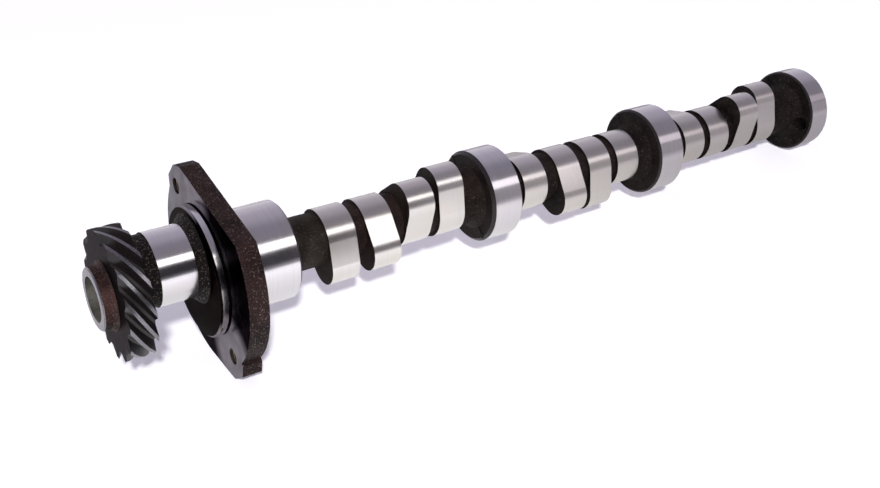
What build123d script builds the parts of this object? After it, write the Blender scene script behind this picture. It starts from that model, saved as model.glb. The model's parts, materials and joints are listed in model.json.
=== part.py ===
from build123d import *
import math
import os

# Camshaft of a six-cylinder pushrod V engine, cast in one piece and then ground.
# The shaft runs along X: the hollow nose is at -X and the rear bearing journal is at +X.
# The origin is on the shaft's axis, in the front face of the flange that carries the timing sprocket.
# The shaft lies as it would on a table, on the flank of the flange's lower lug and on its rear journal.
# Angles are in degrees about +X by the right-hand rule, and 0 points straight up, along +Z.

# Bearing journals, all four of one diameter
journal_radius = 22.7
journal_widths = (25.9, 17.4, 16.7, 14.0)
journal_front_chamfers = (0.9, 1.5, 1.0, 0.9)
journal_rear_chamfer = 0.9

# Flange for the timing sprocket: round, with one flat and two lugs, and a collar that centres the sprocket
flange_thickness = 9.0
flange_radius = 44.2
flange_flat_distance = 33.9
flange_flat_angle = 11.0
bolt_circle_radius = 39.7
bolt_hole_radius = 3.7
lug_angles = (-46.9, 144.5)
lug_heights = (3.3, 5.2)
lug_lead_half_width = 8.6
lug_trail_half_width = 11.9
lug_lead_corner = 4.3
lug_trail_corner = 5.6
lug_corner_fillet = 2.8
resting_flank_depth = 0.1
collar_radius = 29.5
collar_height = 5.9
collar_chamfer = 0.8
collar_lip_width = 1.2
groove_width = 1.4
groove_depth = 0.9

# Eccentric between the collar and the gear
eccentric_radius = 16.4
eccentric_offset = 6.4
eccentric_angle = -7.4
eccentric_ground_width = 15.6
eccentric_hub_width = 7.1
eccentric_hub_radius = 15.9
collar_root_flare = 3.7

# Helical gear
gear_teeth = 14
gear_tooth_angle = 15.4
gear_tip_radius = 28.5
gear_root_radius = 24.4
gear_width = 11.7
gear_helix_angle = 61.5
gear_tip_share = 0.24
gear_root_share = 0.78
gear_front_chamfer = 3.2
gear_rear_chamfer = 1.2

# Nose with its cored hole
nose_length = 5.6
nose_radius = 13.8
nose_bore_radius = 9.9
nose_bore_depth = 28.0
nose_chamfer = 0.6
nose_root_flare = 1.9

# Core of the shaft
core_radius = 12.3
journal_root_flare = 3.8
rear_centre_radius = 3.0
rear_centre_depth = 12.0
rear_countersink_radius = 6.0
breather_hole_radius = 3.8
breather_hole_distance = 16.3
breather_hole_angle = 97.7

# Cams. Each bay between two journals holds four, for one cylinder of each bank.
cam_base_radius = 13.8
cam_nose_radius = 10.2
cam_reach = 21.9
cam_width = 14.0
bay_lengths = (101.4, 89.4, 99.2)
cam_places = (
    (24.9, 44.6, 64.6, 83.5),
    (14.7, 36.2, 56.1, 74.7),
    (16.6, 35.0, 53.8, 71.7),
)
# Timing: in each bay the four cams are odd bank, even bank, odd bank, even bank.
cylinder_spacing = 120.0
odd_bank_angle = 33.0
even_bank_angle = 8.8
lobe_separation = 115.0
# Firing step of each bay's two cylinders, and whether their first cam is the leading one
odd_bank_steps = (0, 1, 2)
even_bank_steps = (0, 1, 2)
odd_bank_leads = (True, True, False)
even_bank_leads = (True, False, False)


def direction(angle):
    """Unit vector across the shaft at an angle from straight up."""
    turn = math.radians(angle)
    return Vector(0, -math.sin(turn), math.cos(turn))


def along_shaft(profile, start, length, angle=0.0):
    """Extrudes a profile, drawn with its own X pointing up, along the shaft from a start."""
    up = direction(angle)
    plane = Plane(origin=(start, 0, 0), x_dir=up, z_dir=(1, 0, 0))
    return extrude(plane * profile, amount=length)


def disc(start, length, radius, front_chamfer=0.0, rear_chamfer=0.0):
    """A round stretch of the shaft, its ends chamfered where a size is given."""
    end = start + length
    points = [(start, 0), (start, radius - front_chamfer)]
    if front_chamfer:
        points.append((start + front_chamfer, radius))
    if rear_chamfer:
        points.append((end - rear_chamfer, radius))
    points += [(end, radius - rear_chamfer), (end, 0)]
    return revolve(Plane.XZ * make_face(Polyline(*points, close=True)), Axis.X)


# Stations along the shaft, front to rear
collar_front = -collar_height
eccentric_rear = collar_front
eccentric_front = eccentric_rear - collar_root_flare - eccentric_ground_width
gear_rear = eccentric_front - eccentric_hub_width
gear_front = gear_rear - gear_width
nose_front = gear_front - nose_length
journal_starts = [flange_thickness]
journal_ends = [flange_thickness + journal_widths[0]]
for bay_length, width in zip(bay_lengths, journal_widths[1:]):
    journal_starts.append(journal_ends[-1] + bay_length)
    journal_ends.append(journal_starts[-1] + width)


def core():
    """The cast core with its journals, turned as one solid."""
    body = disc(flange_thickness / 2, journal_ends[-1] - flange_thickness, core_radius)
    for start, width, front_chamfer in zip(journal_starts, journal_widths, journal_front_chamfers):
        body += disc(start, width, journal_radius, front_chamfer, journal_rear_chamfer)
        if start > flange_thickness:
            body += root_flare(start, core_radius, journal_root_flare)
    return body


def root_flare(face, radius, size):
    """Cone that widens a round stretch where it meets a face behind it."""
    outline = Polyline(
        (face - size, 0), (face - size, radius), (face, radius + size), (face, 0), close=True,
    )
    return revolve(Plane.XZ * make_face(outline), Axis.X)


def cam_profile():
    """Base circle and nose circle joined by their common tangents, the nose along the sketch's X."""
    nose_centre = cam_reach - cam_nose_radius
    tangent = math.acos((cam_base_radius - cam_nose_radius) / nose_centre)
    cos_t, sin_t = math.cos(tangent), math.sin(tangent)
    base_top = (cam_base_radius * cos_t, cam_base_radius * sin_t)
    base_bottom = (cam_base_radius * cos_t, -cam_base_radius * sin_t)
    nose_top = (nose_centre + cam_nose_radius * cos_t, cam_nose_radius * sin_t)
    nose_bottom = (nose_centre + cam_nose_radius * cos_t, -cam_nose_radius * sin_t)
    with BuildSketch() as cam:
        with BuildLine():
            ThreePointArc(base_top, (-cam_base_radius, 0), base_bottom)
            Line(base_bottom, nose_bottom)
            ThreePointArc(nose_bottom, (cam_reach, 0), nose_top)
            Line(nose_top, base_top)
        make_face()
    return cam.sketch


def cams():
    """Places and angles of all the cams, front to rear."""
    placed = []
    for bay, distances in enumerate(cam_places):
        odd = odd_bank_angle + odd_bank_steps[bay] * cylinder_spacing
        even = even_bank_angle + even_bank_steps[bay] * cylinder_spacing
        for index, distance in enumerate(distances):
            in_odd_bank = index % 2 == 0
            leads = odd_bank_leads[bay] if in_odd_bank else even_bank_leads[bay]
            if index > 1:
                leads = not leads
            angle = (odd if in_odd_bank else even) + (lobe_separation if leads else 0.0)
            placed.append((journal_ends[bay] + distance, angle))
    return placed


def gear_profile():
    """Transverse section of the gear."""
    pitch = 360.0 / gear_teeth
    half_tip = pitch * gear_tip_share / 2
    half_root = pitch * gear_root_share / 2

    def at(radius, angle):
        turn = math.radians(angle)
        return (radius * math.cos(turn), radius * math.sin(turn))

    with BuildSketch() as section:
        with BuildLine():
            for tooth in range(gear_teeth):
                middle = gear_tooth_angle + tooth * pitch
                gap = middle + pitch / 2
                next_root = middle + pitch - half_root
                Line(at(gear_root_radius, middle - half_root), at(gear_tip_radius, middle - half_tip))
                ThreePointArc(
                    at(gear_tip_radius, middle - half_tip),
                    at(gear_tip_radius, middle),
                    at(gear_tip_radius, middle + half_tip),
                )
                Line(at(gear_tip_radius, middle + half_tip), at(gear_root_radius, middle + half_root))
                ThreePointArc(
                    at(gear_root_radius, middle + half_root),
                    at(gear_root_radius, gap),
                    at(gear_root_radius, next_root),
                )
        make_face()
    return section.sketch


def gear():
    """Helical gear, its tooth ends chamfered at both faces."""
    plane = Plane(origin=(gear_front, 0, 0), x_dir=(0, 0, 1), z_dir=(1, 0, 0))
    section = (plane * gear_profile()).face()
    twist = math.degrees(gear_width * math.tan(math.radians(gear_helix_angle)) / gear_tip_radius)
    blank = disc(gear_front, gear_width, gear_tip_radius, gear_front_chamfer, gear_rear_chamfer)
    teeth = Solid.extrude_linear_with_rotation(section, (gear_front, 0, 0), (gear_width, 0, 0), twist)
    return Part() + teeth & blank


def lug_profile(reach, flank_end):
    """Outline of one lug, its bolt hole lying out along the sketch's X."""
    outermost = reach - lug_trail_corner
    with BuildSketch() as outline:
        with BuildLine():
            Polyline(
                (collar_radius, -lug_lead_half_width),
                (reach - lug_lead_corner, -lug_lead_half_width),
                (reach, lug_lead_corner - lug_lead_half_width),
                (reach, lug_trail_half_width - lug_trail_corner),
                (reach - lug_trail_corner * 2 / 3, lug_trail_half_width),
                flank_end,
                close=True,
            )
        make_face()
        ends = outline.vertices().filter_by(lambda corner: corner.X > outermost and corner.Y > 0)
        fillet(ends, lug_corner_fillet)
    return outline.sketch


def resting_flank():
    """Flat flank of the lower lug that the flange rests on: its angle from the lug, distance and far end."""
    distance = flange_radius - resting_flank_depth
    corner_out = flange_radius + lug_heights[1] - lug_trail_corner * 2 / 3
    corner_reach = math.hypot(corner_out, lug_trail_half_width)
    facing = math.atan2(lug_trail_half_width, corner_out) + math.acos(distance / corner_reach)
    beyond = math.sqrt(flange_radius ** 2 - distance ** 2)
    cos_f, sin_f = math.cos(facing), math.sin(facing)
    far_end = (distance * cos_f - beyond * sin_f, distance * sin_f + beyond * cos_f)
    return math.degrees(facing), distance, far_end


def flange():
    """Round flange with its two lugs, flat and bolt holes, and the grooved collar."""
    body = along_shaft(Circle(flange_radius), 0, flange_thickness)
    facing, distance, far_end = resting_flank()
    flank_ends = ((collar_radius, collar_radius), far_end)
    for angle, height, flank_end in zip(lug_angles, lug_heights, flank_ends):
        body += along_shaft(lug_profile(flange_radius + height, flank_end), 0, flange_thickness, angle)
    cut = flange_radius
    beyond_flank = Pos(distance + cut / 2, 0) * Rectangle(cut, cut)
    body -= along_shaft(beyond_flank, 0, flange_thickness, lug_angles[1] + facing)
    beyond_flat = Pos(flange_flat_distance + cut / 2, 0) * Rectangle(cut, 3 * cut)
    body -= along_shaft(beyond_flat, 0, flange_thickness, flange_flat_angle)
    for angle in lug_angles:
        hole = Pos(bolt_circle_radius, 0) * Circle(bolt_hole_radius)
        body -= along_shaft(hole, 0, flange_thickness, angle)
    land = collar_height - collar_lip_width - groove_width
    body += disc(collar_front, land, collar_radius, collar_chamfer, 0)
    body += disc(collar_front, collar_height + flange_thickness / 2, collar_radius - groove_depth)
    body += disc(-collar_lip_width, collar_lip_width + flange_thickness / 2, collar_radius)
    return body


def eccentric():
    """Off-centre round between the gear and the collar, with its hub and a cast root at the collar."""
    centre = direction(eccentric_angle) * eccentric_offset
    length = eccentric_rear - gear_rear
    body = disc(gear_rear, length + collar_height / 2, eccentric_hub_radius)
    body += disc(eccentric_front, length + collar_height / 2 - eccentric_hub_width, eccentric_radius)
    body += root_flare(eccentric_rear, eccentric_radius, collar_root_flare)
    return Pos(centre) * body


def nose():
    """Hollow nose ahead of the gear."""
    body = disc(nose_front, nose_length + gear_width / 2, nose_radius, nose_chamfer, nose_chamfer)
    body += root_flare(gear_front, nose_radius, nose_root_flare)
    return body


def camshaft():
    """The whole casting."""
    body = core() + flange() + eccentric() + gear() + nose()
    profile = cam_profile()
    for place, angle in cams():
        body += along_shaft(profile, place - cam_width / 2, cam_width, angle)
    bore = disc(nose_front, nose_bore_depth, nose_bore_radius)
    body -= bore
    rear = journal_ends[-1]
    body -= disc(rear - rear_centre_depth, rear_centre_depth, rear_centre_radius)
    countersink = (rear_countersink_radius - rear_centre_radius) / math.tan(math.radians(30))
    cone = Polyline(
        (rear, 0), (rear, rear_countersink_radius), (rear - countersink, rear_centre_radius),
        (rear - countersink, 0), close=True,
    )
    body -= revolve(Plane.XZ * make_face(cone), Axis.X)
    hole_start = journal_starts[-1] - journal_root_flare
    hole = disc(hole_start, rear - hole_start, breather_hole_radius)
    body -= Pos(direction(breather_hole_angle) * breather_hole_distance) * hole
    return body


os.makedirs("parts", exist_ok=True)
shaft = camshaft()
print("solids", len(shaft.solids()), "volume", round(shaft.volume), "box", shaft.bounding_box())
export_step(shaft.solids()[0], "parts/camshaft.step")
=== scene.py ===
import bpy
import bmesh
import json
import math
from mathutils import Matrix, Vector


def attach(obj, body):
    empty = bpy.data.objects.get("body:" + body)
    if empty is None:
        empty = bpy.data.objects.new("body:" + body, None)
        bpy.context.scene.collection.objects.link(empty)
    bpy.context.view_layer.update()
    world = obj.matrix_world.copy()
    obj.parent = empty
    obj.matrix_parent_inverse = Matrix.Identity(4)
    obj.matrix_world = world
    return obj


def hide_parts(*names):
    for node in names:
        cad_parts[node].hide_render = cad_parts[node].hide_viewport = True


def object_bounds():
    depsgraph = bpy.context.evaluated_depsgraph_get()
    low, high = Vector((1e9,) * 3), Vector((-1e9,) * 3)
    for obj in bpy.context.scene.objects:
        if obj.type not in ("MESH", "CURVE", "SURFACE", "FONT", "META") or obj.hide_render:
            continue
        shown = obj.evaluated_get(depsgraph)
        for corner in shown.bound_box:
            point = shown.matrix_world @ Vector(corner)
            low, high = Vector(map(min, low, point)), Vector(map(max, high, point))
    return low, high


# Looks of a cast and ground camshaft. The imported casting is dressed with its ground, turned and as-cast
# finishes, and its edges are eased. The threads of its two bolt holes and the mould's ridges are added.

MM = 0.001

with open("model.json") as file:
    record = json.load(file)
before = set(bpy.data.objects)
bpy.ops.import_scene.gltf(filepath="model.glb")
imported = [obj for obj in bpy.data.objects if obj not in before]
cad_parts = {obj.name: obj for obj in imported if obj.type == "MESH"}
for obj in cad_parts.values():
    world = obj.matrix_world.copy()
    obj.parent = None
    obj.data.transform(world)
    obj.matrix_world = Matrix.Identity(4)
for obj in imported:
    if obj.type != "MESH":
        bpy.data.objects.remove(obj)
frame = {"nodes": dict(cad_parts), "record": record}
cad_low, cad_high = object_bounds()
mounts = {mount["name"]: mount for mount in frame["record"]["mounts"]}

# Bearing journals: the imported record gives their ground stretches, which end at the chamfers
journal_front_chamfers = (0.9 * MM, 1.5 * MM, 1.0 * MM, 0.9 * MM)
journal_rear_chamfer = 0.9 * MM
journals = []
journal_fronts = []
journal_rears = []
for number, front_chamfer in enumerate(journal_front_chamfers, 1):
    mount = mounts["journal_%d" % number]
    middle = mount["pos_m"][0]
    length = mount["dims"]["length_mm"] * MM
    journals.append((middle, mount["dims"]["r_mm"] * MM, length))
    journal_fronts.append(middle - length / 2 - front_chamfer)
    journal_rears.append(middle + length / 2 + journal_rear_chamfer)

# Flange, collar and bolt holes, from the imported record
collar_radius = mounts["sprocket_pilot"]["dims"]["r_mm"] * MM
bolts = [mounts["sprocket_bolt_1"], mounts["sprocket_bolt_2"]]
bolt_hole_radius = bolts[0]["dims"]["r_mm"] * MM
flange_thickness = bolts[0]["dims"]["length_mm"] * MM

# Sizes of the casting that the finishes need. Places along the shaft start at the flange's front face, and
# places across it are (y, z) from its axis.
core_radius = 12.3 * MM
collar_front = -5.9 * MM
collar_groove = (-2.6 * MM, -1.2 * MM)
eccentric_ground = (-25.2 * MM, -9.6 * MM)
eccentric_centre = (0.82 * MM, 6.35 * MM)
eccentric_radius = 16.4 * MM
gear_front = -44 * MM
gear_rear = -32.3 * MM
gear_tip_radius = 28.5 * MM
nose_radius = 13.8 * MM
bore_radius = 9.9 * MM
rear_centre_radius = 6.1 * MM
# Hole drilled through the rear journal beside the core
drilled_hole = (-16.15 * MM, -2.18 * MM)
drilled_hole_radius = 3.8 * MM
# Length and height of the cast flare at the foot of a journal, the collar and the gear
journal_root = 3.8 * MM
collar_root = 3.7 * MM
nose_root = 1.9 * MM
# Rounding of those flares, and of the other edges
fillet_width = 1.7 * MM
eased_edge = 0.3 * MM

# Thread of a bolt hole: a ridge of three-sided section, sunk in the hole's wall
thread_pitch = 1.25 * MM
thread_ridge_radius = 0.55 * MM
thread_sink = 0.1 * MM
thread_start = 0.9 * MM
thread_turns = 6
thread_steps = 28

# Ridges where the two halves of the sand mould met, at this angle from straight up and opposite
mould_joint = 138.0
ridge_width = 1.1 * MM
ridge_height = 0.9 * MM
journal_ridge_radii = (22 * MM, 15.6 * MM)
journal_ridge_sink = 0.15 * MM
core_ridge_sink = 0.1 * MM
core_ridge_gap = 0.3 * MM

# How a face of the casting is told apart: by the share of its normal that lies along the shaft, or that
# points away from it on a tooth's tip, and by how far it lies from a named place
wall_share = 0.2
end_share = 0.9
rear_face_share = 0.95
tip_share = 0.55
face_slack = 0.1 * MM
tooth_tip_band = 3.4 * MM
bolt_rim = 0.5 * MM
chamfer_band = 1.6 * MM
# The same, once the flares are rounded
ground_share = 0.1
glinting_shares = (0.74, 0.99)
glinting_band = 1.8 * MM

# Real sizes that the finishes' patterns are scaled by. Grinding lines are 0.1 mm apart or less: they are
# drawn 0.25 mm apart, so that they show.
sand_grain = 0.625 * MM
skin_cloud = 11.1 * MM
grinding_line = 0.25 * MM
grinding_line_length = 111 * MM
oil_patch = 14.3 * MM
tool_ring = 0.588 * MM
stain_patch = 8.33 * MM
hob_mark = 0.714 * MM
# How far round each bolt the flange face keeps its satin grey, and over what width the painted dark
# reflection sets in beyond that
kept_bright_reaches = (30 * MM, 14 * MM)
painted_reflection_edge = 8 * MM

# Floor of white paper, and its light for the camera over what the lamp gives it
floor_size = 12
floor_glow = 0.27

# Lamp behind the camera and above it, its place and radius in metres
key_light_place = (-0.486, -1.14, 1.026)
key_light_radius = 0.06
key_light_power = 41.5

# Camera, solved from the circles of the shaft in the photograph
camera_place = Vector((-146.98, -398.18, 250.88)) * MM
camera_target = Vector((114.0, -10.44, -15.21)) * MM
camera_roll = 1.954
camera_lens = 45.702


def linear(code):
    """Linear colour of an sRGB hex value."""
    channels = [int(code[place:place + 2], 16) / 255 for place in (1, 3, 5)]
    return [c / 12.92 if c <= 0.04045 else ((c + 0.055) / 1.055) ** 2.4 for c in channels] + [1.0]


def add(tree, kind, links=None, values=None, stops=(), **settings):
    """Adds a node with the sources of its inputs, its inputs' own values, a ramp's (place, colour) stops and
    its settings. Colours are sRGB hex values."""
    node = tree.nodes.new(kind)
    for name, value in settings.items():
        setattr(node, name, value)
    for name, value in (values or {}).items():
        node.inputs[name].default_value = linear(value) if isinstance(value, str) else value
    for name, source in (links or {}).items():
        tree.links.new(source, node.inputs[name])
    if stops:
        steps = node.color_ramp.elements
        while len(steps) < len(stops):
            steps.new(0.5)
        for step, (place, colour) in zip(steps, stops):
            step.position = place
        for step, (place, colour) in zip(steps, stops):
            step.color = linear(colour)
    return node


def new_material(name):
    """An empty node material."""
    material = bpy.data.materials.new(name)
    material.use_nodes = True
    material.node_tree.nodes.clear()
    return material, material.node_tree


def ground_iron(name, dark, light, smooth, dull):
    """Cylindrically ground cast iron: bright grey metal with fine lines round the shaft."""
    material, tree = new_material(name)
    place = add(tree, "ShaderNodeTexCoord")
    along = add(tree, "ShaderNodeMapping", {"Vector": place.outputs["Object"]},
                {"Scale": (1 / grinding_line, 1 / grinding_line_length, 1 / grinding_line_length)})
    lines = add(tree, "ShaderNodeTexNoise", {"Vector": along.outputs[0]}, {"Scale": 1.0, "Detail": 2.0})
    patches = add(tree, "ShaderNodeTexNoise", {"Vector": place.outputs["Object"]},
                  {"Scale": 1 / oil_patch, "Detail": 3.0})
    rough = add(tree, "ShaderNodeMapRange", {"Value": patches.outputs["Fac"]},
                {"To Min": smooth, "To Max": dull})
    tone = add(tree, "ShaderNodeValToRGB", {"Fac": lines.outputs["Fac"]}, stops=[(0.3, dark), (0.7, light)])
    # A faint straw tint in patches, where the oil film is thicker
    film = add(tree, "ShaderNodeValToRGB", {"Fac": patches.outputs["Fac"]},
               stops=[(0.35, "#fffdf9"), (0.65, "#ffffff")])
    tinted = add(tree, "ShaderNodeMix", {"A": tone.outputs["Color"], "B": film.outputs["Color"]},
                 {"Factor": 1.0}, data_type="RGBA", blend_type="MULTIPLY")
    bump = add(tree, "ShaderNodeBump", {"Height": lines.outputs["Fac"]},
               {"Strength": 0.06, "Distance": 0.02 * MM})
    surface = add(tree, "ShaderNodeBsdfPrincipled", {
        "Base Color": tinted.outputs["Result"], "Roughness": rough.outputs[0], "Normal": bump.outputs[0],
    }, {"Metallic": 1.0})
    add(tree, "ShaderNodeOutputMaterial", {"Surface": surface.outputs[0]})
    return material


def cast_iron():
    """Sand-cast iron with its dark skin: brown black, redder on nose and flange, raised grains glinting."""
    material, tree = new_material("sand_cast_iron")
    place = add(tree, "ShaderNodeTexCoord")
    grain = add(tree, "ShaderNodeTexNoise", {"Vector": place.outputs["Object"]},
                {"Scale": 1 / sand_grain, "Detail": 3.0})
    clouds = add(tree, "ShaderNodeTexNoise", {"Vector": place.outputs["Object"]},
                 {"Scale": 1 / skin_cloud, "Detail": 4.0})
    parts = add(tree, "ShaderNodeSeparateXYZ", {0: place.outputs["Object"]})
    # The skin's tint along the shaft, from the nose at 0 to the rear journal at 1
    share = add(tree, "ShaderNodeMapRange", {"Value": parts.outputs["X"]},
                {"From Min": cad_low.x, "From Max": cad_high.x})
    tint = add(tree, "ShaderNodeValToRGB", {"Fac": share.outputs[0]}, stops=[
        (0.012, "#3f2c2a"), (0.02, "#141010"), (0.11, "#141010"), (0.117, "#2a1c1b"), (0.138, "#2a1c1b"),
        (0.144, "#332f29"), (0.22, "#2b2621"), (0.27, "#241a18"), (0.5, "#1e1816"), (0.95, "#1a1514"),
    ])
    flat = add(tree, "ShaderNodeMapping", {"Vector": place.outputs["Object"]}, {"Scale": (0, 1, 1)})
    distance = add(tree, "ShaderNodeVectorMath", {0: flat.outputs[0]}, operation="LENGTH")
    # Painted light: the cored hole in the nose is painted a lighter grey, as if lit inside
    within = add(tree, "ShaderNodeMath", {0: distance.outputs["Value"]}, {1: bore_radius + eased_edge},
                 operation="LESS_THAN")
    before = add(tree, "ShaderNodeMath", {0: parts.outputs["X"]}, {1: 0.0}, operation="LESS_THAN")
    inside = add(tree, "ShaderNodeMath", {0: within.outputs[0], 1: before.outputs[0]}, operation="MULTIPLY")
    skin = add(tree, "ShaderNodeMix", {"Factor": inside.outputs[0], "A": tint.outputs["Color"]},
               {"B": "#5b5954"}, data_type="RGBA")
    shade = add(tree, "ShaderNodeValToRGB", {"Fac": clouds.outputs["Fac"]},
                stops=[(0.35, "#8f8a88"), (0.62, "#ffffff")])
    cloudy = add(tree, "ShaderNodeMix", {"A": skin.outputs["Result"], "B": shade.outputs["Color"]},
                 {"Factor": 1.0}, data_type="RGBA", blend_type="MULTIPLY")
    # Behind the flange the skin is smoother: the sand grain is at full height in front of it only
    height = add(tree, "ShaderNodeMapRange", {"Value": parts.outputs["X"]}, {
        "From Min": flange_thickness, "From Max": flange_thickness + 1 * MM, "To Min": 1.0, "To Max": 0.25,
    })
    # Grains that stand out are rubbed bright, and glint
    risen = add(tree, "ShaderNodeMapRange", {"Value": grain.outputs["Fac"]},
                {"From Min": 0.6, "From Max": 0.68})
    rubbed = add(tree, "ShaderNodeMath", {0: risen.outputs[0], 1: height.outputs[0]}, operation="MULTIPLY")
    tone = add(tree, "ShaderNodeMix", {"Factor": rubbed.outputs[0], "A": cloudy.outputs["Result"]},
               {"B": "#85756f"}, data_type="RGBA")
    polish = add(tree, "ShaderNodeMapRange", {"Value": rubbed.outputs[0]}, {"To Min": 0.62, "To Max": 0.26})
    bump = add(tree, "ShaderNodeBump", {"Height": grain.outputs["Fac"], "Strength": height.outputs[0]},
               {"Distance": 0.5 * MM})
    surface = add(tree, "ShaderNodeBsdfPrincipled", {
        "Base Color": tone.outputs["Result"], "Normal": bump.outputs[0], "Roughness": polish.outputs[0],
        "Metallic": rubbed.outputs[0],
    }, {"Specular IOR Level": 0.15})
    add(tree, "ShaderNodeOutputMaterial", {"Surface": surface.outputs[0]})
    return material


def turned_metal(name, dark, light, edge_on, roughness, dark_reflection_painted):
    """Face-turned iron: satin metal with fine rings, and where a dark reflection is painted on it, dark
    except round the bolts.
    """
    material, tree = new_material(name)
    place = add(tree, "ShaderNodeTexCoord")
    flat = add(tree, "ShaderNodeMapping", {"Vector": place.outputs["Object"]}, {"Scale": (0, 1, 1)})
    distance = add(tree, "ShaderNodeVectorMath", {0: flat.outputs[0]}, operation="LENGTH")
    rings = add(tree, "ShaderNodeTexNoise", {"W": distance.outputs["Value"]},
                {"Scale": 1 / tool_ring, "Detail": 2.0}, noise_dimensions="1D")
    bump = add(tree, "ShaderNodeBump", {"Height": rings.outputs["Fac"]},
               {"Strength": 0.1, "Distance": 0.02 * MM})
    patches = add(tree, "ShaderNodeTexNoise", {"Vector": place.outputs["Object"]},
                  {"Scale": 1 / stain_patch, "Detail": 4.0})
    tone = add(tree, "ShaderNodeValToRGB", {"Fac": patches.outputs["Fac"]},
               stops=[(0.3, dark), (0.7, light)]).outputs["Color"]
    if dark_reflection_painted:
        # Painted reflection: dark everywhere but round the two bolts, standing in for the dark collar and
        # groove that the face mirrors
        kept_bright = []
        for bolt, reach in zip(bolts, kept_bright_reaches):
            away = add(tree, "ShaderNodeVectorMath", {0: flat.outputs[0]}, {1: (0, *bolt["pos_m"][1:])},
                       operation="DISTANCE")
            near = add(tree, "ShaderNodeMapRange", {"Value": away.outputs["Value"]},
                       {"From Min": reach, "From Max": reach + painted_reflection_edge})
            kept_bright.append(near.outputs[0])
        share = add(tree, "ShaderNodeMath", {0: kept_bright[0], 1: kept_bright[1]}, operation="MULTIPLY")
        tone = add(tree, "ShaderNodeMix", {"Factor": share.outputs[0], "A": tone}, {"B": "#0f0c0b"},
                   data_type="RGBA").outputs["Result"]
    surface = add(tree, "ShaderNodeBsdfPrincipled", {"Base Color": tone, "Normal": bump.outputs[0]},
                  {"Metallic": 1.0, "Roughness": roughness, "Specular Tint": edge_on})
    add(tree, "ShaderNodeOutputMaterial", {"Surface": surface.outputs[0]})
    return material


def hobbed_iron(name, dark, light, edge_on, metal, roughness):
    """Iron cut by a hob, a tap or a facing tool and left unground, with the tool's feed marks. Its tone is
    between dark and light where it faces the eye, and edge_on where it is seen along its surface."""
    material, tree = new_material(name)
    place = add(tree, "ShaderNodeTexCoord")
    marks = add(tree, "ShaderNodeTexNoise", {"Vector": place.outputs["Object"]},
                {"Scale": 1 / hob_mark, "Detail": 2.0})
    tone = add(tree, "ShaderNodeValToRGB", {"Fac": marks.outputs["Fac"]}, stops=[(0.35, dark), (0.65, light)])
    bump = add(tree, "ShaderNodeBump", {"Height": marks.outputs["Fac"]},
               {"Strength": 0.15, "Distance": 0.05 * MM})
    surface = add(tree, "ShaderNodeBsdfPrincipled",
                  {"Base Color": tone.outputs["Color"], "Normal": bump.outputs[0]},
                  {"Metallic": metal, "Roughness": roughness, "Specular Tint": edge_on})
    add(tree, "ShaderNodeOutputMaterial", {"Surface": surface.outputs[0]})
    return material


# Finishes of the casting, in the order in which its mesh holds their materials
CAST, GROUND, TURNED, DARK_PAINTED_COLLAR, BLACKENED, TIP, FACED, CAM = range(8)


def finish_of(centre, normal):
    """Which finish a face of the casting has."""
    out = math.hypot(centre.y, centre.z)
    wall = abs(normal.x) < wall_share
    end = abs(normal.x) > end_share
    if centre.x < gear_front - nose_root:
        rim = out > bore_radius and normal.x < -wall_share
        return TIP if rim else CAST
    if centre.x < gear_rear + face_slack:
        if out < nose_radius + nose_root + 2 * face_slack:
            return CAST
        if end:
            return FACED if normal.x < 0 else CAST
        outward = (normal.y * centre.y + normal.z * centre.z) / out
        return TIP if outward > tip_share and out > gear_tip_radius - tooth_tip_band else BLACKENED
    if centre.x < collar_front - eased_edge:
        ground = eccentric_ground[0] < centre.x < eccentric_ground[1]
        return GROUND if wall and ground else CAST
    if centre.x < -face_slack / 2 and out < collar_radius + eased_edge:
        grooved = collar_groove[0] - eased_edge < centre.x < collar_groove[1] + eased_edge
        # Painted dark: the collar's front face and groove take the painted reflection and shade
        if end or (grooved and out < collar_radius - 2 * face_slack):
            return DARK_PAINTED_COLLAR
        return GROUND if wall else TURNED
    if centre.x < flange_thickness / 3 and normal.x < -end_share:
        return TURNED
    if centre.x <= flange_thickness:
        for bolt in bolts:
            from_bolt = math.hypot(centre.y - bolt["pos_m"][1], centre.z - bolt["pos_m"][2])
            if from_bolt < bolt_hole_radius + bolt_rim:
                return TURNED
        return CAST
    if centre.x > journal_fronts[-1] and out < rear_centre_radius and normal.x < rear_face_share:
        return TIP
    from_hole = math.hypot(centre.y - drilled_hole[0], centre.z - drilled_hole[1])
    if centre.x > journal_fronts[-1] - journal_root and from_hole < drilled_hole_radius + eased_edge:
        return CAST
    if wall and out > core_radius + 2 * eased_edge:
        on_journal = any(abs(centre.x - middle) < length / 2 for middle, radius, length in journals)
        return GROUND if on_journal else CAM
    for middle, radius, length in journals:
        if out > radius - chamfer_band and not end:
            return BLACKENED
    return CAST


def in_ring(point, x, centre, radius):
    """Whether a point lies on a given circle round the shaft."""
    out = math.hypot(point.y - centre[0], point.z - centre[1])
    return abs(point.x - x) < face_slack / 5 and abs(out - radius) < face_slack / 2


def round_fillets(mesh):
    """Marks both edges of each cast root with how far the fillet modifier is to round it."""
    axis = (0, 0)
    rings = [
        (collar_front - collar_root, eccentric_centre, eccentric_radius, 1.0),
        (collar_front, eccentric_centre, eccentric_radius + collar_root, 1.0),
        (gear_front - nose_root, axis, nose_radius, 0.45),
        (gear_front, axis, nose_radius + nose_root, 0.45),
    ]
    for start in journal_fronts[1:]:
        rings.append((start - journal_root, axis, core_radius, 1.0))
        rings.append((start, axis, core_radius + journal_root, 1.0))
    shape = bmesh.new()
    shape.from_mesh(mesh)
    weight = shape.edges.layers.float.new("bevel_weight_edge")
    for edge in shape.edges:
        for x, centre, radius, share in rings:
            if all(in_ring(vertex.co, x, centre, radius) for vertex in edge.verts):
                edge[weight] = share
    shape.to_mesh(mesh)
    shape.free()


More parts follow.
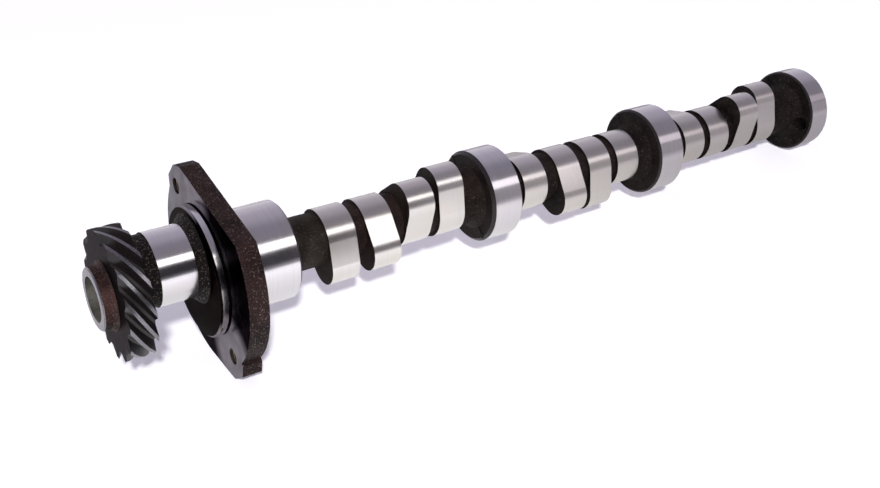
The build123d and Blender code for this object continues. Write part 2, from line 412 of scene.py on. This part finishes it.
def add_bevel(piece, name, width, segments, limit):
    """Adds a bevel and applies it."""
    bevel = piece.modifiers.new(name, "BEVEL")
    bevel.width = width
    bevel.segments = segments
    bevel.limit_method = limit
    bevel.angle_limit = math.radians(40)
    bpy.ops.object.modifier_apply(modifier=bevel.name)


def dressed_casting(finishes):
    """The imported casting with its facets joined, its edges eased and each face given its finish."""
    node = frame["nodes"]["camshaft"]
    mesh = node.data.copy()
    piece = bpy.data.objects.new("dressed_camshaft", mesh)
    bpy.context.scene.collection.objects.link(piece)
    mesh.materials.clear()
    for finish in finishes:
        mesh.materials.append(finish)
    bpy.ops.object.select_all(action="DESELECT")
    piece.select_set(True)
    bpy.context.view_layer.objects.active = piece
    bpy.ops.object.mode_set(mode="EDIT")
    bpy.ops.mesh.select_all(action="SELECT")
    bpy.ops.mesh.remove_doubles(threshold=0.002 * MM)
    bpy.ops.object.mode_set(mode="OBJECT")
    for face in mesh.polygons:
        face.material_index = finish_of(face.center, face.normal)
    bpy.ops.object.mode_set(mode="EDIT")
    bpy.ops.mesh.select_all(action="SELECT")
    bpy.ops.mesh.dissolve_limited(angle_limit=math.radians(0.4), delimit={"MATERIAL"})
    bpy.ops.object.mode_set(mode="OBJECT")
    round_fillets(mesh)
    bpy.ops.object.shade_smooth_by_angle(angle=math.radians(30))
    add_bevel(piece, "fillets", fillet_width, 3, "WEIGHT")
    for face in mesh.polygons:
        along = abs(face.normal.x)
        out = math.hypot(face.center.y, face.center.z)
        at_root = face.center.x > flange_thickness and abs(out - core_radius - journal_root) < glinting_band
        if face.material_index in (GROUND, CAM) and along > ground_share:
            # The grinding wheel stops short of the fillets
            face.material_index = CAST
        elif face.material_index == CAST and at_root and glinting_shares[0] < along < glinting_shares[1]:
            # The fillet where a root meets its journal is smoother than the skin, and glints
            face.material_index = BLACKENED
    add_bevel(piece, "eased edges", eased_edge, 2, "ANGLE")
    bpy.ops.object.shade_smooth_by_angle(angle=math.radians(20))
    # Large faces keep their own normal, so that the eased edges don't shade across them
    flatten = piece.modifiers.new("flat faces", "WEIGHTED_NORMAL")
    flatten.keep_sharp = True
    bpy.ops.object.modifier_apply(modifier=flatten.name)
    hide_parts("camshaft")
    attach(piece, "root")


def finish_piece(piece, name, material):
    """Names a modelled piece, puts its place into its mesh and lets it ride with the shaft."""
    bpy.ops.object.transform_apply(location=True, rotation=True, scale=True)
    piece.name = name
    piece.data.materials.append(material)
    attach(piece, "root")


def bolt_thread(name, bolt, material):
    """Thread of one bolt hole: a ridge of three-sided section wound along the hole's wall."""
    bpy.ops.object.select_all(action="DESELECT")
    bpy.ops.mesh.primitive_circle_add(
        vertices=3, radius=thread_ridge_radius, fill_type="NGON", rotation=(-math.pi / 2, 0, 0))
    piece = bpy.context.object
    bpy.ops.object.transform_apply(location=False, rotation=True, scale=False)
    bpy.ops.object.mode_set(mode="EDIT")
    bpy.ops.mesh.select_all(action="SELECT")
    bpy.ops.transform.translate(value=(thread_start, 0, bolt_hole_radius + thread_sink))
    bpy.ops.mesh.delete(type="ONLY_FACE")
    bpy.ops.object.mode_set(mode="OBJECT")
    winding = piece.modifiers.new("winding", "SCREW")
    winding.axis = "X"
    winding.steps = thread_steps
    winding.render_steps = thread_steps
    winding.iterations = thread_turns
    winding.screw_offset = thread_pitch
    bpy.ops.object.modifier_apply(modifier=winding.name)
    bpy.ops.object.mode_set(mode="EDIT")
    bpy.ops.mesh.select_all(action="SELECT")
    bpy.ops.mesh.remove_doubles(threshold=0.001 * MM)
    bpy.ops.mesh.fill_holes(sides=4)
    bpy.ops.mesh.normals_make_consistent(inside=False)
    bpy.ops.object.mode_set(mode="OBJECT")
    bpy.ops.object.shade_smooth_by_angle(angle=math.radians(30))
    piece.location = (0, bolt["pos_m"][1], bolt["pos_m"][2])
    finish_piece(piece, name, material)


def flash_line(name, low, high, angle, material):
    """Thin ridge left where the mould's halves met, from one (x, radius) to another."""
    bpy.ops.object.select_all(action="DESELECT")
    bpy.ops.mesh.primitive_cube_add(size=1)
    piece = bpy.context.object
    piece.scale = (math.hypot(high[0] - low[0], high[1] - low[1]), ridge_width, ridge_height)
    bpy.ops.object.transform_apply(location=False, rotation=False, scale=True)
    bpy.ops.object.mode_set(mode="EDIT")
    bpy.ops.mesh.select_all(action="DESELECT")
    shape = bmesh.from_edit_mesh(piece.data)
    for face in shape.faces:
        face.select_set(face.normal.z > 0.5)
    bmesh.update_edit_mesh(piece.data)
    # The ridge narrows to a quarter at its crest
    bpy.ops.transform.resize(value=(0.98, 0.25, 1))
    bpy.ops.mesh.select_all(action="SELECT")
    bpy.ops.mesh.bevel(offset=0.12 * MM, segments=2, affect="EDGES")
    bpy.ops.object.mode_set(mode="OBJECT")
    bpy.ops.object.shade_smooth_by_angle(angle=math.radians(40))
    along = Vector((high[0] - low[0], 0, high[1] - low[1])).normalized()
    side = Vector((0, 1, 0))
    upright = Matrix((along, side, along.cross(side))).transposed()
    round_shaft = Matrix.Rotation(math.radians(angle), 3, "X")
    halfway = Vector(((low[0] + high[0]) / 2, 0, (low[1] + high[1]) / 2))
    piece.rotation_euler = (round_shaft @ upright).to_euler()
    piece.location = round_shaft @ halfway
    finish_piece(piece, name, material)


def card(name, centre, size, facing, strength, stops):
    """A card of the studio that only mirrors see, its light changing along the shaft."""
    bpy.ops.object.select_all(action="DESELECT")
    bpy.ops.mesh.primitive_plane_add(size=1, location=centre)
    piece = bpy.context.object
    piece.name = name
    piece.scale = (size[0], size[1], 1)
    normal = Vector(facing).normalized()
    side = Vector((1, 0, 0))
    piece.rotation_euler = Matrix((side, normal.cross(side), normal)).transposed().to_euler()
    material, tree = new_material(name)
    place = add(tree, "ShaderNodeTexCoord")
    along = add(tree, "ShaderNodeSeparateXYZ", {0: place.outputs["Object"]})
    share = add(tree, "ShaderNodeMath", {0: along.outputs["X"]}, {1: 0.5}, operation="ADD")
    tone = add(tree, "ShaderNodeValToRGB", {"Fac": share.outputs[0]}, stops=stops)
    glow = add(tree, "ShaderNodeEmission", {"Color": tone.outputs["Color"]}, {"Strength": strength})
    add(tree, "ShaderNodeOutputMaterial", {"Surface": glow.outputs[0]})
    piece.data.materials.append(material)
    piece.visible_camera = False
    piece.visible_diffuse = False
    piece.visible_shadow = False


def floor():
    """White paper under the two things that the shaft lies on: the lower lug's flank and the rear journal."""
    middle, radius, length = journals[-1]
    front = Vector((0, 0, cad_low.z))
    rear = Vector((middle + length / 2, 0, -radius))
    tilt = math.atan2(rear.z - front.z, rear.x - front.x)
    bpy.ops.object.select_all(action="DESELECT")
    bpy.ops.mesh.primitive_plane_add(size=floor_size, location=front, rotation=(0, -tilt, 0))
    piece = bpy.context.object
    piece.name = "floor"
    material, tree = new_material("white_paper_floor")
    place = add(tree, "ShaderNodeTexCoord")
    along = add(tree, "ShaderNodeSeparateXYZ", {0: place.outputs["Object"]})
    # In mirrors the paper is painted less bright to the right, a painted falloff of the lamp's light, and
    # darker close under the shaft, a painted shadow; it ends in front, where the room is dark
    share = add(tree, "ShaderNodeMapRange", {"Value": along.outputs["X"]}, {"From Min": 0.0, "From Max": 0.5})
    painted_paper_falloff = add(tree, "ShaderNodeValToRGB", {"Fac": share.outputs[0]}, stops=[
        (0.24, "#f6f6f6"), (0.4, "#e4e3e2"), (0.6, "#bcbabb"), (0.9, "#a6a2a6"),
    ])
    table_tone = add(tree, "ShaderNodeValToRGB", {"Fac": share.outputs[0]}, stops=[
        (0.2, "#2c292e"), (0.5, "#69666b"), (0.8, "#98959a"),
    ])
    edge = add(tree, "ShaderNodeMapRange", {"Value": along.outputs["Y"]},
               {"From Min": -0.34, "From Max": -0.26})
    # Painted shadow: in mirrors the paper darkens close under the shaft
    painted_shadow_under_shaft = add(tree, "ShaderNodeMapRange", {"Value": along.outputs["Y"]},
                {"From Min": -0.14, "From Max": -0.03, "To Min": 1.0, "To Max": 0.78})
    shaded = add(tree, "ShaderNodeMix", {"A": painted_paper_falloff.outputs["Color"], "B": painted_shadow_under_shaft.outputs[0]},
                 {"Factor": 1.0}, data_type="RGBA", blend_type="MULTIPLY")
    mirrored = add(tree, "ShaderNodeMix", {
        "Factor": edge.outputs[0], "A": table_tone.outputs["Color"], "B": shaded.outputs["Result"],
    }, data_type="RGBA")
    ray = add(tree, "ShaderNodeLightPath")
    in_metal = ray.outputs["Is Glossy Ray"]
    tone = add(tree, "ShaderNodeMix", {"Factor": in_metal, "B": mirrored.outputs["Result"]},
               {"A": "#f4f3f4"}, data_type="RGBA")
    glow = add(tree, "ShaderNodeMix", {"Factor": in_metal, "B": mirrored.outputs["Result"]},
               {"A": "#f0e9ff"}, data_type="RGBA")
    in_metal_or_glass = add(tree, "ShaderNodeMath", {0: in_metal, 1: ray.outputs["Is Transmission Ray"]},
                            operation="MAXIMUM")
    shows = add(tree, "ShaderNodeMath", {0: ray.outputs["Is Camera Ray"], 1: in_metal_or_glass.outputs[0]},
                operation="MAXIMUM")
    strength = add(tree, "ShaderNodeMath", {0: shows.outputs[0]}, {1: floor_glow}, operation="MULTIPLY")
    paper = add(tree, "ShaderNodeBsdfDiffuse", {"Color": tone.outputs["Result"]})
    white = add(tree, "ShaderNodeEmission",
                {"Color": glow.outputs["Result"], "Strength": strength.outputs[0]})
    lit = add(tree, "ShaderNodeAddShader", {0: paper.outputs[0], 1: white.outputs[0]})
    add(tree, "ShaderNodeOutputMaterial", {"Surface": lit.outputs[0]})
    piece.data.materials.append(material)


def studio():
    """Room, key light and the two cards that make the bright and the dark band along the shaft."""
    scene = bpy.context.scene
    scene.view_settings.view_transform = "Standard"
    world = bpy.data.worlds.new("studio")
    scene.world = world
    world.use_nodes = True
    tree = world.node_tree
    tree.nodes.clear()
    ray = add(tree, "ShaderNodeLightPath")
    around = add(tree, "ShaderNodeTexCoord")
    parts = add(tree, "ShaderNodeSeparateXYZ", {0: around.outputs["Generated"]})
    near = add(tree, "ShaderNodeMath", {0: parts.outputs["Y"]}, {1: -1.0}, operation="MULTIPLY")
    turn = add(tree, "ShaderNodeMath", {0: near.outputs[0], 1: parts.outputs["Z"]}, operation="ARCTAN2")
    # 0 is the far horizon, 0.5 is overhead and 1 is the horizon on the camera's side
    share = add(tree, "ShaderNodeMapRange", {"Value": turn.outputs[0]},
                {"From Min": -math.pi / 2, "From Max": math.pi / 2})
    room = add(tree, "ShaderNodeValToRGB", {"Fac": share.outputs[0]}, stops=[
        (0.0, "#eeebf2"), (0.045, "#d6d3de"), (0.11, "#c3c0cc"), (0.18, "#bbb8c5"), (0.25, "#aca7b6"),
        (0.38, "#a09ba9"), (0.51, "#827f8b"), (0.7, "#7f7b84"), (1.0, "#88858a"),
    ])
    # The camera sees the room as white: its tones show only in mirrors and as light
    soft = add(tree, "ShaderNodeBackground", {"Color": room.outputs["Color"]})
    white = add(tree, "ShaderNodeBackground", None, {"Color": "#ffffff"})
    shown = add(tree, "ShaderNodeMixShader",
                {0: ray.outputs["Is Camera Ray"], 1: soft.outputs[0], 2: white.outputs[0]})
    add(tree, "ShaderNodeOutputWorld", {"Surface": shown.outputs[0]})
    card(
        "strip_light", centre=(0.85, -0.785, 0.688), size=(2.3, 0.345), facing=(0, 0.766, -0.643),
        strength=1.9,
        stops=[(0.0, "#ffffff"), (0.33, "#ffffff"), (0.47, "#d9d4da"), (0.62, "#aaa4ab"), (0.78, "#827c83")])
    card(
        "dark_card", centre=(0.85, -0.95, 0.22), size=(2.3, 0.56), facing=(0, 1, -0.1), strength=1.0,
        stops=[(0.0, "#2c292e"), (0.30, "#2c292e"), (0.38, "#69666b"), (0.46, "#98959a"), (0.75, "#9a959c")])
    bpy.ops.object.light_add(type="POINT", location=key_light_place)
    lamp = bpy.context.object
    lamp.name = "key_light"
    lamp.data.energy = key_light_power
    lamp.data.shadow_soft_size = key_light_radius
    lamp.visible_glossy = False
    # The lamp lights near and far parts of the floor alike
    lamp.data.use_nodes = True
    tree = lamp.data.node_tree
    tree.nodes.clear()
    even = add(tree, "ShaderNodeLightFalloff", None, {"Strength": 1.0})
    glow = add(tree, "ShaderNodeEmission", {"Strength": even.outputs["Constant"]})
    add(tree, "ShaderNodeOutputLight", {"Surface": glow.outputs[0]})


def camera():
    """Camera where the photograph was taken from."""
    data = bpy.data.cameras.new("camera")
    data.lens = camera_lens
    data.clip_start = 0.01
    piece = bpy.data.objects.new("camera", data)
    bpy.context.scene.collection.objects.link(piece)
    look = (camera_target - camera_place).to_track_quat("-Z", "Y").to_matrix()
    turn = Matrix.Rotation(math.radians(camera_roll), 3, "Z")
    piece.matrix_world = Matrix.Translation(camera_place) @ (look @ turn).to_4x4()
    bpy.context.scene.camera = piece


cast = cast_iron()
# Threads cut by a tap: bare straw-coloured metal, light on each crest
threads = hobbed_iron("cut_threads", "#b3a888", "#ded2b2", "#ffffff", 1.0, 0.5)
dressed_casting([
    cast,
    # Journals, collar and eccentric, ground to a fit: nearly a mirror, with sharp bright and dark bands
    ground_iron("ground_journals", "#e4e1e6", "#efecf0", 0.10, 0.22),
    # Front face of the flange: satin grey round the bolts, and elsewhere painted dark as a reflection of the
    # dark collar
    turned_metal("turned_flange_face", "#8a868b", "#aaa6ab", "#adaaae", 0.28, True),
    # Front face and groove of the collar painted nearly black, a painted reflection of dark on the face and
    # painted shade in the groove, with a soft shine
    turned_metal("oiled_collar_face", "#171414", "#272221", "#b3b1b1", 0.28, False),
    # Tooth flanks, journal chamfers and root fillets, machined and blackened: black, with a faint gloss
    hobbed_iron("blackened_machined_iron", "#120f10", "#221c1d", "#ffffff", 0.0, 0.4),
    # Tips of the teeth, rim of the nose and rear centre, worn or cut bare: satin grey
    hobbed_iron("worn_tooth_tips", "#7d7a80", "#98949b", "#ffffff", 1.0, 0.32),
    # Front face of the gear, faced with a cutter: dark grey metal with a dull shine
    hobbed_iron("faced_gear_end", "#2d2a2b", "#494546", "#aaa8a9", 1.0, 0.35),
    # Cams, ground to their outline: bright, but warmer and duller than the journals
    ground_iron("ground_cams", "#e6e2df", "#f4f0ec", 0.18, 0.3),
])
for number, bolt in enumerate(bolts, 1):
    bolt_thread("bolt_thread_%d" % number, bolt, threads)
for number, (rear, front) in enumerate(zip(journal_rears, journal_fronts[1:]), 1):
    on_face = front + journal_ridge_sink
    on_core = core_radius - core_ridge_sink
    for half, angle in enumerate((mould_joint, mould_joint - 180), 1):
        flash_line("journal_%d_flash_%d" % (number + 1, half), (on_face, journal_ridge_radii[0]),
                   (on_face, journal_ridge_radii[1]), angle, cast)
        flash_line("bay_%d_flash_%d" % (number, half), (rear + core_ridge_gap, on_core),
                   (front - journal_root, on_core), angle, cast)
floor()
studio()
camera()
